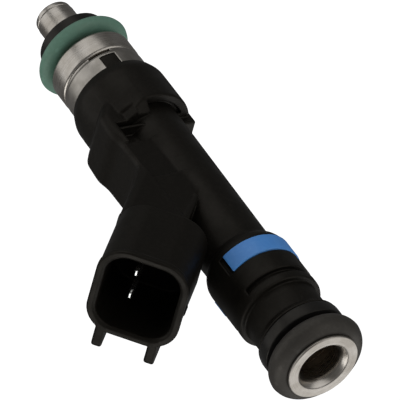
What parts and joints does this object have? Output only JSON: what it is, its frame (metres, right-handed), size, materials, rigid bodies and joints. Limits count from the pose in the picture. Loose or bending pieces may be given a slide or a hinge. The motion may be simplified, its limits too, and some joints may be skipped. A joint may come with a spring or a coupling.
{
  "type": "fuel injector",
  "caption": "Port fuel injector: slim black body, angled two-pin connector socket, steel nozzle end with green seal ring, blue colour clip and a flared steel fuel inlet with black seal ring.",
  "frame": {"origin": "centre of the orifice plate's outer face, at the spray end", "axes": "+Z along the injector axis towards the fuel inlet, +X towards the connector side, XZ is the plane of symmetry of the outer shape apart from the latch ribs, the housing window and the clip's opening; the latch ribs are on the +Y side"},
  "size_m": [0.0313, 0.018, 0.079],
  "materials": {
    "black_plastic": "glass-filled nylon, satin with a fine moulded grain",
    "support_plastic": "smooth black plastic",
    "blue_plastic": "satin moulded plastic",
    "bobbin_plastic": "matt glass-filled plastic",
    "filter_plastic": "satin plastic",
    "stainless_steel": "drawn and turned, fine rings around the axis",
    "housing_steel": "deep-drawn can, satin",
    "magnet_steel": "ground soft magnetic steel",
    "ball_steel": "polished bearing ball",
    "spring_steel": "drawn wire",
    "terminal_tin": "tin-plated bright",
    "copper_wire": "enamelled copper",
    "filter_steel": "fine woven mesh",
    "black_rubber": "matt fluorocarbon rubber",
    "green_rubber": "satin fluorosilicone rubber"
  },
  "bodies": {
    "injector_body": {"overmold_body": "black_plastic", "colour_clip": "blue_plastic", "terminal_pin_a": "terminal_tin", "terminal_pin_b": "terminal_tin", "inlet_tube": "stainless_steel", "inlet_o_ring": "black_rubber", "inlet_support_ring": "support_plastic", "filter_frame": "filter_plastic", "filter_mesh": "filter_steel", "adjusting_sleeve": "stainless_steel", "return_spring": "spring_steel", "pole_core": "magnet_steel", "valve_sleeve": "stainless_steel", "coil_bobbin": "bobbin_plastic", "coil_winding": "copper_wire", "magnet_cover": "magnet_steel", "magnet_housing": "housing_steel", "valve_body": "stainless_steel", "o_ring_retainer": "support_plastic", "nozzle_o_ring": "green_rubber", "ball_guide": "stainless_steel", "valve_seat": "stainless_steel", "orifice_plate": "stainless_steel"},
    "needle_assembly": {"armature": "magnet_steel", "needle_tube": "stainless_steel", "valve_ball": "ball_steel"}
  },
  "joints": [
    {"name": "needle_lift", "type": "slide", "parent": "injector_body", "child": "needle_assembly", "axis": [0, 0, 1], "range_m": [0, 0.00008], "stiffness_N_per_m": 4000, "springref_m": -0.00075, "deforming": ["return_spring"]}
  ]
}
